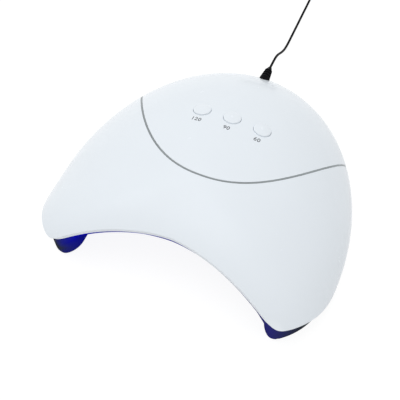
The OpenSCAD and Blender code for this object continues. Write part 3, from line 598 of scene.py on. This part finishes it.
coil = [coil_point(i / COIL_STEPS) for i in range(LOOPS * COIL_STEPS + 1)]
lead_tail = [[0, 194.6, 7.5], [0, 198, 7.5], [-0.8, 201.5, 7.2], [-2.8, 205, 6.6], [-6, 208.3, 5.7],
             [-10, 210.7, 4.8], [-14, 211.8, 4.1], [-18, 212, 3.9], [-21, 212, 3.9]]
route = [lead_start] + lead_drop + lead_run + [[0, 191.4, COIL_Z]] + coil + lead_tail


def smooth_line(points, steps=3):
    """More points on the same route, along a curve through them all."""
    p = np.array(points, float)
    p = np.concatenate([[2 * p[0] - p[1]], p, [2 * p[-1] - p[-2]]])
    out = []
    for i in range(1, len(p) - 2):
        a, b, c, d = p[i - 1:i + 3]
        for t in np.arange(steps) / steps:
            out.append(0.5 * (2 * b + (c - a) * t + (2 * a - 5 * b + 4 * c - d) * t * t
                              + (3 * b - a - 3 * c + d) * t ** 3))
    return np.array(out + [p[-2]])


def tube(points, radius, sides=12):
    """Rings round a line, each turned as little as possible from the one before."""
    p = np.asarray(points, float)
    along = np.gradient(p, axis=0)
    along /= np.linalg.norm(along, axis=1)[:, None]
    side = np.cross(along[0], [0, 0, 1.0])
    a = np.linspace(0, 2 * math.pi, sides, endpoint=False)
    rings = []
    for at, t in zip(p, along):
        side = side - t * (side @ t)
        side /= np.linalg.norm(side)
        rings.append(at + radius * (np.outer(np.cos(a), side) + np.outer(np.sin(a), np.cross(side, t))))
    return lofted(rings)


lead_line = smooth_line(route)
lead = link("lead_wire", mesh_of("lead_wire", *tube(lead_line, LEAD_R)))
paint(lead, lead_skin)
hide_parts("lead", "lead_coil", "lead_tail")


# covers
def front_boss(s):
    return s * (HALF_W - BOSS_IN), FRONT_BOSS_Y


def back_direction(s):
    d = np.array([s * math.cos(BACK_BOSS_ANGLE) / HALF_W, math.sin(BACK_BOSS_ANGLE) / BACK_REACH])
    return d / np.linalg.norm(d)


def back_boss(s):
    at_rim = np.array([s * HALF_W * math.cos(BACK_BOSS_ANGLE), BACK_REACH * math.sin(BACK_BOSS_ANGLE)])
    return at_rim - BOSS_IN * back_direction(s)


def boss_points(at, direction):
    """A screw boss with its bore, moulded to the wall by a rib."""
    low, chamfer, end_wall = PLATE_TOP + FIT, 0.2, 1.2
    rib_low, rib_from, rib_to, rib_half = RIM_Z + FRAME_LAP + 0.2, 1.8, 5.8, 0.8
    post = revolved([(AXIS, BOSS_TOP), (BOSS_R - chamfer, BOSS_TOP), (BOSS_R, BOSS_TOP - chamfer),
                     (BOSS_R, low), (BOSS_BORE, low), (BOSS_BORE, BOSS_TOP - end_wall),
                     (AXIS, BOSS_TOP - end_wall)], upright(at), 40)
    angle = math.atan2(direction[1], direction[0])
    c, s = math.cos(angle), math.sin(angle)
    corners = [(a, b, z) for a in (rib_from, rib_to) for b in (-rib_half, rib_half)
               for z in (rib_low, BOSS_TOP)]
    rib = [[at[0] + a * c - b * s, at[1] + a * s + b * c - MIDDLE_Y, z] for a, b, z in corners]
    faces = [[0, 1, 3, 2], [4, 6, 7, 5], [0, 4, 5, 1], [2, 3, 7, 6], [1, 5, 7, 3], [0, 2, 6, 4]]
    return [post, (rib, faces)]


def cover(name, sections, inner_parts, cutters, node):
    """A cover with its holes cut, and with its bosses, posts and guides joined to it."""
    obj = link(name, mesh_of(name, *lofted(sections)))
    for points, faces in cutters:
        cut(obj, mesh_of("cutter", points, faces))
    obj.data.set_sharp_from_angle(angle=math.radians(35))
    dome_normals(obj.data)
    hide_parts(node)
    inner = link(f"{name}_inner", mesh_of(f"{name}_inner", *join(inner_parts)), body=None)
    for o in bpy.context.selected_objects:
        o.select_set(False)
    bpy.context.view_layer.objects.active = obj
    obj.select_set(True)
    inner.select_set(True)
    bpy.ops.object.join()
    return obj


front_sections = cover_sections(
    -SEAM_W / 2, lambda u, inset: front_border(u, inset, seam_angle(-SEAM_W / 2, inset) - SEAM_SHORT),
    columns=96, rows=52, inner_rows=20)
front_parts = [p for s in (-1, 1) for p in boss_points(front_boss(s), (s, 0))]
front_cover = cover("front_cover", front_sections, front_parts, [], "front_shell")
paint(front_cover, white)


def surface_d(x0, radius, angles):
    """How far out from the button row's plane the cover's surface lies, on a circle round x0."""
    x = x0 + radius * np.cos(angles)
    y = radius * np.sin(angles)
    d = np.zeros_like(x)
    tries = 12
    for _ in range(tries):
        p = on_board(x, y, d)
        gap = p[:, 2] - dome_z(p[:, 0], p[:, 1] + MIDDLE_Y)
        d = d - gap * math.cos(TILT)
    return d


def board_ring(x0, r, a, d):
    """A ring of radius r round x0 on the button row's plane, at the angles a and d out from it."""
    return on_board(x0 + r * np.cos(a), r * np.sin(a), d + 0 * a)


def hole_cutter(x0, sides=72):
    """Takes out a button's hole, with its mouth rounded along the cover's own surface."""
    a = np.linspace(0, 2 * math.pi, sides, endpoint=False)
    r0, lip, low, high = BUTTON_R + BUTTON_GAP, 0.16, -9, 6
    surface = surface_d(x0, r0 + 0.15, a)
    rings = []
    for r, d, base in [(r0, low, 0), (r0, -lip, surface), (r0 + 0.04, -lip * 0.6, surface),
                       (r0 + 0.13, -lip * 0.28, surface), (r0 + lip, 0.02, surface), (r0 + lip, high, 0)]:
        rings.append(board_ring(x0, r, a, base + d))
    return lofted(rings)


def sleeve_points(x0):
    """A button's guide under the cover, down to its collar."""
    a = np.linspace(0, 2 * math.pi, 64, endpoint=False)
    inner, outer = BUTTON_R + BUTTON_GAP, BUTTON_R + SLEEVE_WALL
    low, inner_top, outer_top = COLLAR_TOP + FIT, -0.6, -1.0
    rings = [board_ring(x0, inner, a, low),
             board_ring(x0, inner, a, surface_d(x0, inner, a) + inner_top),
             board_ring(x0, outer, a, surface_d(x0, outer, a) + outer_top),
             board_ring(x0, outer, a, low)]
    return lofted(rings, closed=True)


def post_points(x0):
    """A post for the control board, with its screw's bore."""
    top, low, bore, end_wall = -side_drop(x0) - WALL * 0.6, -9.0, 0.82, 1.2
    return revolved([(AXIS, top), (POST_R, top), (POST_R, low), (bore, low), (bore, top - end_wall),
                     (AXIS, top - end_wall)], lambda x, y, d: on_board(x + x0, y, d), 32)


def seat_points():
    """A flat seat inside the rear cover for the strain relief's flange."""
    a = np.linspace(0, 2 * math.pi, 48, endpoint=False)
    rings = []
    for r, back in [(RELIEF_R + FIT, 0), (RELIEF_R + FIT, 1), (SEAT_R, 1), (SEAT_R, 0)]:
        x, z = r * np.cos(a), LEAD_Z + r * np.sin(a)
        y = np.full_like(x, SEAT_Y)
        if back:
            y = np.array([cover_reach(v, WALL / 2) for v in z])
        rings.append(np.stack([x, y - MIDDLE_Y, z], -1))
    return lofted(rings, closed=True)


def lead_hole():
    """The hole in the rear cover for the strain relief, from inside it to behind it."""
    r, start, end = RELIEF_R + FIT, 90, 125
    place = lambda x, y, d: np.stack([x, d - MIDDLE_Y, LEAD_Z + y], -1)
    return revolved([(AXIS, start), (r, start), (r, end), (AXIS, end)], place, 64)


rear_sections = cover_sections(
    SEAM_W / 2, lambda u, inset: back_border(u, inset, seam_angle(SEAM_W / 2, inset) + SEAM_SHORT),
    columns=84, rows=64, inner_rows=22)
rear_parts = [p for s in (-1, 1) for p in boss_points(back_boss(s), back_direction(s))]
rear_parts += [sleeve_points(k * BUTTON_PITCH) for k in (-1, 0, 1)]
rear_parts += [post_points(s * POST_X) for s in (-1, 1)] + [seat_points()]
rear_cutters = [hole_cutter(k * BUTTON_PITCH) for k in (-1, 0, 1)] + [lead_hole()]
rear_cover = cover("back_cover", rear_sections, rear_parts, rear_cutters, "rear_cover")
paint(rear_cover, white)


# seam strip
def seam_sections(count=150):
    """Rings across the strip from end to end, its top a little under the covers and rounded."""
    half, flat_half = SEAM_W / 2 - FIT / 2, (SEAM_W / 2 - FIT / 2) * 0.8
    side_top, flat_top, middle_top = 0.3, 0.14, 0.1
    profile = [(-half, SEAM_DEPTH), (-half, side_top), (-flat_half, flat_top), (0, middle_top),
               (flat_half, flat_top), (half, side_top), (half, SEAM_DEPTH)]
    rings = []
    for share in np.sin(np.pi / 2 * np.linspace(-1, 1, 2 * count + 1)):
        ring = []
        for shift, deep in profile:
            p = seam_point(np.array(seam_end(shift, deep) * share), shift)
            ring.append([p[0], p[1] - MIDDLE_Y, float(dome_z(p[0], p[1], deep))])
        rings.append(ring)
    return rings


strip = link("seam_trim", mesh_of("seam_trim", *lofted(seam_sections())))
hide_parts("seam_strip")
paint(strip, strip_metal)


# buttons
def button_mesh(name, x0):
    """A cap with a domed face, a rounded edge and the collar that keeps it in its guide."""
    lean, drop = side_lean(x0), side_drop(x0)
    crown_r = (BUTTON_R ** 2 + BUTTON_CROWN ** 2) / (2 * BUTTON_CROWN)
    centre_d = -drop + (BUTTON_PROUD - crown_r) * math.cos(lean)
    centre_x = (BUTTON_PROUD - crown_r) * math.sin(lean)
    soft = 0.35
    face_radii = [AXIS, 0.6, 1.2, 1.8, 2.4, 3.0, 3.6, 4.1, 4.45, 4.65, 4.72, 4.79, 4.86, 4.92, 4.97,
                  BUTTON_R]
    a = np.linspace(0, 2 * math.pi, 72, endpoint=False)
    rings = []
    for r in face_radii:
        x, y = r * np.cos(a), r * np.sin(a)
        d = centre_d + np.sqrt(crown_r ** 2 - (x - centre_x) ** 2 - y ** 2)
        over = max(r - (BUTTON_R - soft), 0) / soft
        rings.append(on_board(x0 + x, y, d - soft * 0.8 * (1 - math.sqrt(max(1 - over * over, 0)))))
    collar_r, collar_low = BUTTON_R + COLLAR_OUT, COLLAR_TOP - COLLAR_T
    for r, d in [(BUTTON_R, COLLAR_TOP), (collar_r, COLLAR_TOP), (collar_r, collar_low), (AXIS, collar_low)]:
        rings.append(board_ring(x0, r, a, d))
    return mesh_of(name, *lofted(rings))


for k, label in ((-1, "120"), (0, "90"), (1, "60")):
    cap = link(f"button_cap_{label}", button_mesh(f"button_cap_{label}", k * BUTTON_PITCH), f"push_{label}")
    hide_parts(f"button_{label}")
    paint(cap, button_white)


def number(label, x0, y0, height):
    """Plain digits printed on the cover in front of a button."""
    digit_share, print_top, print_foot = 0.7, 0.025, -0.1
    data = bpy.data.curves.new("text", "FONT")
    data.body = label
    data.size = height / digit_share
    data.space_character = 1.05
    data.align_x, data.align_y = "CENTER", "CENTER"
    data.resolution_u = 3
    data.offset = 0.04
    text = bpy.data.objects.new("text", data)
    mesh = bpy.data.meshes.new_from_object(text)
    flat = np.array([v.co[:] for v in mesh.vertices])
    faces = [list(p.vertices) for p in mesh.polygons]
    bpy.data.objects.remove(text)
    x, y = flat[:, 0] + x0, flat[:, 1] + y0
    z = dome_z(x, y)
    n = len(x)
    points = np.concatenate([np.stack([x, y - MIDDLE_Y, z + up], -1) for up in (print_top, print_foot)])
    edges = dict.fromkeys(edge for f in faces for edge in zip(f, f[1:] + f[:1]))
    rim = [(a, b) for a, b in edges if (b, a) not in edges]
    faces += [[k + n for k in f][::-1] for f in faces] + [[b, a, a + n, b + n] for a, b in rim]
    return points, faces


LABEL_Y, LABEL_H = 41.0, 2.7
labels = link("time_numbers", mesh_of("time_numbers", *join(
    [number(t, k * BUTTON_PITCH, LABEL_Y, LABEL_H) for k, t in ((-1, "120"), (0, "90"), (1, "60"))])))
paint(labels, ink)


# liner
def liner_grid(out, columns, rows):
    """Rows of points over the liner from its back to its front lip, on the side out from the hand space."""
    least_w, before_y, corner_power, corner_rows = 3, -1, 6, 13
    a = np.radians(90 * np.linspace(-1, 1, 2 * columns + 1))

    def front_row(half, back, t):
        x = half * np.sin(a)
        y = back - edge_y(x, LINER_INSET)
        arch = hand_z((HAND_HALF + out) * np.sin(a), before_y + 0 * x, out)
        cover_z = dome_z(x, y, LINER_INSET)
        z = mix(np.minimum(arch, cover_z - LINER_T + out), cover_z, t)
        z[0] = z[-1] = PLATE_TOP
        lip = mix(out, LINER_T, LIP_BACK * np.cos(a))
        return np.stack([x, y + lip, z], -1)

    grid = []
    for t in np.linspace(1, 0, rows + 1):
        w = max((HAND_HALF + out) * math.cos(t * math.pi / 2), least_w)
        x = w * np.sin(a)
        y = np.full_like(x, (HAND_REACH + out) * math.sin(t * math.pi / 2))
        z = hand_z(x, y, out)
        z[0] = z[-1] = PLATE_TOP
        if t == 1:
            z[:] = PLATE_TOP
        grid.append(np.stack([x, y, z], -1))
    round_off = CORNER_R * np.abs(np.sin(a)) ** corner_power
    front = [front_row(HAND_HALF + out + round_off * (1 - math.cos(s)), round_off * (1 - math.sin(s)), 0)
             for s in np.linspace(0, math.pi / 2, corner_rows)]
    front += [front_row(mix(HAND_HALF + out + round_off, FLANGE_X, t), 0, t)
              for t in np.linspace(0, 1, corner_rows)[1:]]
    grid += [mix(grid[-1], front[0], t) for t in (0.25, 0.5, 0.75)]
    return np.array(grid + front) - [0, MIDDLE_Y, 0]


def sheet(outer, inner):
    """A sheet between two grids of points, closed along its edges."""
    m, n = outer.shape[:2]
    points = np.concatenate([outer.reshape(-1, 3), inner.reshape(-1, 3)])
    faces = []
    for g in (0, 1):
        for j in range(m - 1):
            for i in range(n - 1):
                a = g * m * n + j * n + i
                faces.append([a, a + 1, a + n + 1, a + n])
    edge = [(0, i) for i in range(n - 1)] + [(j, n - 1) for j in range(m - 1)]
    edge += [(m - 1, i) for i in range(n - 1, 0, -1)] + [(j, 0) for j in range(m - 1, 0, -1)]
    for (j, i), (next_j, next_i) in zip(edge, edge[1:] + edge[:1]):
        a, b = j * n + i, next_j * n + next_i
        faces.append([a, b, b + m * n, a + m * n])
    return points, faces


liner = link("liner", mesh_of("liner", *sheet(liner_grid(LINER_T, 60, 48), liner_grid(0, 60, 48))))
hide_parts("reflector")
paint(liner, liner_painted_glow)


# base frame
def base_sections(side_steps=40, back_steps=70):
    """Rings round the horseshoe, from one hand-side end round the back to the other."""
    low_top, lap_top = PLATE_TOP, RIM_Z + FRAME_LAP
    lap_from = LINER_T + 4 * FIT - float(edge_y(np.array(FLANGE_X), LINER_INSET))
    turn_rows, hair, bunching = 13, 0.01, 1.3
    rows = []
    for t in np.linspace(0, 1, side_steps + 1):
        line = []
        for k in (0, 1):
            inset = FRAME_INSET + k * FRAME_WALL
            w = HALF_W - inset
            first_a = math.asin((HAND_HALF + CORNER_R) / w)
            x = w * math.sin(mix(first_a, math.pi / 2, t))
            line.append([x, -float(edge_y(np.array(x), inset))])
        if not rows:
            turn = [(HAND_HALF + CORNER_R * (1 - math.cos(s)), CORNER_R * (1 - math.sin(s)))
                    for s in np.linspace(math.pi / 2, 0, turn_rows)]
            hand_line = np.array([[x, y - float(edge_y(np.array(x), FRAME_INSET))] for x, y in turn]
                                 + [[HAND_HALF, 0]])
            hand_line[0] = [line[1][0], line[1][1] + hair]
        hand = spaced(np.c_[hand_line, 0 * hand_line[:, 0]],
                      lambda length: np.array([length * t ** bunching]))[0]
        rows.append([line[0], line[1], [hand[0], hand[1]]])
    for t in np.linspace(0, 1, back_steps + 1)[1:]:
        a = t * math.pi / 2
        line = [[(HALF_W - FRAME_INSET - k * FRAME_WALL) * math.cos(a),
                 (BACK_REACH - FRAME_INSET - k * FRAME_WALL) * math.sin(a)] for k in (0, 1)]
        rows.append(line + [[HAND_HALF * math.cos(a), HAND_REACH * math.sin(a)]])
    half = []
    lapped = False
    for o, i, h in rows:
        tops = [lap_top] if lapped else [low_top]
        if not lapped and i[1] > lap_from:
            tops = [low_top, lap_top]
            lapped = True
        for top in tops:
            half.append([[*o, PAD_H], [*o, top], [*i, top], [*i, PLATE_TOP], [*h, PLATE_TOP], [*h, PAD_H]])
    half = np.array(half)
    other = half[-2::-1] * [-1, 1, 1]
    return np.concatenate([half, other]) - [0, MIDDLE_Y, 0]


base = link("base", mesh_of("base", *lofted(base_sections()), smooth_over=math.radians(30)))
HEAD_HOLE_R, HEAD_HOLE_TOP, SCREW_HOLE_R = 2.7, 2.0, 1.5
UNDER, OVER = -1, 4.5
for at in [front_boss(-1), front_boss(1), back_boss(-1), back_boss(1)]:
    hole = revolved([(AXIS, UNDER), (HEAD_HOLE_R, UNDER), (HEAD_HOLE_R, HEAD_HOLE_TOP),
                     (SCREW_HOLE_R, HEAD_HOLE_TOP), (SCREW_HOLE_R, OVER), (AXIS, OVER)], upright(at), 40)
    cut(base, mesh_of("cutter", *hole))
softened(base, 0.25, 2)
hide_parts("base_frame")
paint(base, frame_dark)


# strain relief
def relief_profile():
    """Radius and distance behind the cover along the strain relief: flange, neck, ribs and a short cone."""
    back, bands, deep = SEAT_Y - LEAD_Y, 7, 0.5
    flange_back, flange_front, chamfer = back - 1.2, back - 0.1, 0.2
    rib = RELIEF_L / bands
    points = [(AXIS, flange_back), (SEAT_R - chamfer, flange_back), (SEAT_R, flange_back + chamfer),
              (SEAT_R, flange_front), (RELIEF_R, flange_front)]
    y = 0.0
    for k in range(bands):
        r_in = mix(RELIEF_R, RELIEF_TIP_R, y / RELIEF_L)
        r_out = mix(RELIEF_R, RELIEF_TIP_R, (y + rib) / RELIEF_L)
        if k % 2:
            points += [(r_in - deep * 0.75, y + 0.06), (r_in - deep, y + 0.2), (r_out - deep, y + rib - 0.2),
                       (r_out - deep * 0.75, y + rib - 0.06)]
        else:
            points += [(r_in - 0.1, y + 0.03), (r_in, y + 0.16), (r_out, y + rib - 0.16),
                       (r_out - 0.1, y + rib - 0.03)]
        y += rib
    tip = RELIEF_L + RELIEF_CONE
    points += [(RELIEF_TIP_R - 0.35, RELIEF_L + 0.1), (LEAD_R + 0.45, tip - 0.35), (LEAD_R + 0.3, tip - 0.1),
               (LEAD_R, tip), (AXIS, tip)]
    return points


relief = link("relief_boot", mesh_of("relief_boot", *revolved(
    relief_profile(), lambda x, y, d: np.stack([x, d + LEAD_Y - MIDDLE_Y, LEAD_Z + y], -1), 56)))
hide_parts("strain_relief")
paint(relief, rubber)

# CAD nodes with their own finish
green = plastic("board_green", (0.01, 0.09, 0.035), 0.35, vary=0.2)
board_white = plastic("board_white", (0.7, 0.72, 0.72), 0.4, vary=0.04)
chip_black = plastic("chip_black", (0.015, 0.015, 0.016), 0.55, vary=0.1)
ferrite = plastic("ferrite", (0.05, 0.047, 0.045), 0.6, vary=0.2)
can_blue = plastic("can_sleeve", (0.05, 0.05, 0.2), 0.3, vary=0.1)
red_wire = plastic("red_wire", (0.4, 0.01, 0.01), 0.4, vary=0.1)
clamp_white = plastic("clamp_white", (0.75, 0.75, 0.72), 0.45, vary=0.03)
lens = plastic("lens_violet", (0.5, 0.52, 0.8), 0.1, vary=0.03)
lens.set(Emission_Color=(0.12, 0.1, 1.0, 1), Emission_Strength=0.6)
LOOKS = {
    "control_board": green, "controller_chip": chip_black, "driver_coil": ferrite, "capacitor": can_blue,
    "lead_socket": cream, "strip_socket": cream, "strip_middle": board_white, "strip_left": board_white,
    "strip_right": board_white, "diodes_middle": lens, "diodes_left": lens, "diodes_right": lens,
    "wire_middle": red_wire, "wire_left": red_wire, "wire_right": red_wire, "strip_screws": steel,
    "board_screws": steel, "case_screws": steel, "clamp_screws": steel, "lead_clamp": clamp_white,
    "foot_front_left": rubber, "foot_front_right": rubber, "foot_back_left": rubber,
    "foot_back_right": rubber, "inner_lead": lead_skin, "lead_tie": dark_plastic, "plug_grip": rubber,
    "plug_shell": steel, "plug_tongue": clamp_white, "plunger_120": dark_plastic,
    "plunger_90": dark_plastic, "plunger_60": dark_plastic, "switch_120": dark_plastic,
    "switch_90": dark_plastic, "switch_60": dark_plastic,
}
for node_name, look in LOOKS.items():
    paint(frame["nodes"][node_name], look)
softened(frame["nodes"]["plug_grip"], 0.6, 3)
softened(frame["nodes"]["plug_shell"], 0.12, 2)

# floor, world and lights
FLOOR_HALF = 4
floor_corners = [(x * FLOOR_HALF, y * FLOOR_HALF, 0) for x, y in ((-1, -1), (1, -1), (1, 1), (-1, 1))]
floor_mesh = bpy.data.meshes.new("floor")
floor_mesh.from_pydata(floor_corners, [], [[0, 1, 2, 3]])
floor = bpy.data.objects.new("floor", floor_mesh)
bpy.context.scene.collection.objects.link(floor)


def seen_directly(tree):
    """1 for camera, glossy and transmission rays."""
    path = tree.nodes.new("ShaderNodeLightPath")
    total = path.outputs["Is Camera Ray"]
    for name in ("Is Glossy Ray", "Is Transmission Ray"):
        add = tree.nodes.new("ShaderNodeMath")
        add.operation = "MAXIMUM"
        tree.links.new(total, add.inputs[0])
        tree.links.new(path.outputs[name], add.inputs[1])
        total = add.outputs[0]
    return total


def floor_material():
    """Plain grey for the light it throws back, and nearly white where it is seen."""
    material = bpy.data.materials.new("floor_white")
    material.use_nodes = True
    tree = material.node_tree
    tree.nodes.clear()
    out = tree.nodes.new("ShaderNodeOutputMaterial")
    choose = tree.nodes.new("ShaderNodeMixShader")
    tree.links.new(seen_directly(tree), choose.inputs[0])
    plain = tree.nodes.new("ShaderNodeBsdfDiffuse")
    plain.inputs["Color"].default_value = (0.8, 0.8, 0.8, 1)
    tree.links.new(plain.outputs[0], choose.inputs[1])
    both = tree.nodes.new("ShaderNodeAddShader")
    lit = tree.nodes.new("ShaderNodeBsdfDiffuse")
    lit.inputs["Color"].default_value = (0.18, 0.18, 0.18, 1)
    glow = tree.nodes.new("ShaderNodeEmission")
    glow.inputs["Strength"].default_value = 0.9
    tree.links.new(lit.outputs[0], both.inputs[0])
    tree.links.new(glow.outputs[0], both.inputs[1])
    tree.links.new(both.outputs[0], choose.inputs[2])
    tree.links.new(choose.outputs[0], out.inputs[0])
    return material


floor.data.materials.append(floor_material())

world = bpy.data.worlds.new("world")
bpy.context.scene.world = world
world.use_nodes = True
tree = world.node_tree
tree.nodes.clear()
world_out = tree.nodes.new("ShaderNodeOutputWorld")
choose = tree.nodes.new("ShaderNodeMixShader")
tree.links.new(seen_directly(tree), choose.inputs[0])
for k, (colour, strength) in enumerate([((0.985, 0.995, 1.0, 1), 0.6), ((1, 1, 1, 1), 1.0)]):
    sky = tree.nodes.new("ShaderNodeBackground")
    sky.inputs["Color"].default_value = colour
    sky.inputs["Strength"].default_value = strength
    tree.links.new(sky.outputs[0], choose.inputs[k + 1])
tree.links.new(choose.outputs[0], world_out.inputs[0])


def area_light(name, place, target, size, power, colour=(1, 1, 1)):
    """A soft lamp at a place, turned to a target."""
    data = bpy.data.lights.new(name, "AREA")
    data.shape = "RECTANGLE"
    data.size, data.size_y = size
    data.energy = power
    data.color = colour
    obj = bpy.data.objects.new(name, data)
    obj.location = place
    obj.rotation_mode = "QUATERNION"
    obj.rotation_quaternion = (Vector(target) - Vector(place)).to_track_quat("-Z", "Y")
    bpy.context.scene.collection.objects.link(obj)
    return obj


key = area_light("key", (-0.25, 0.12, 1.0), (0, 0, 0.02), (1.0, 1.0), 5.4, (0.99, 0.995, 1.0))
key.visible_glossy = False
area_light("front", (0.6, -0.9, 0.3), (0, 0, 0.02), (0.6, 0.4), 0.9)
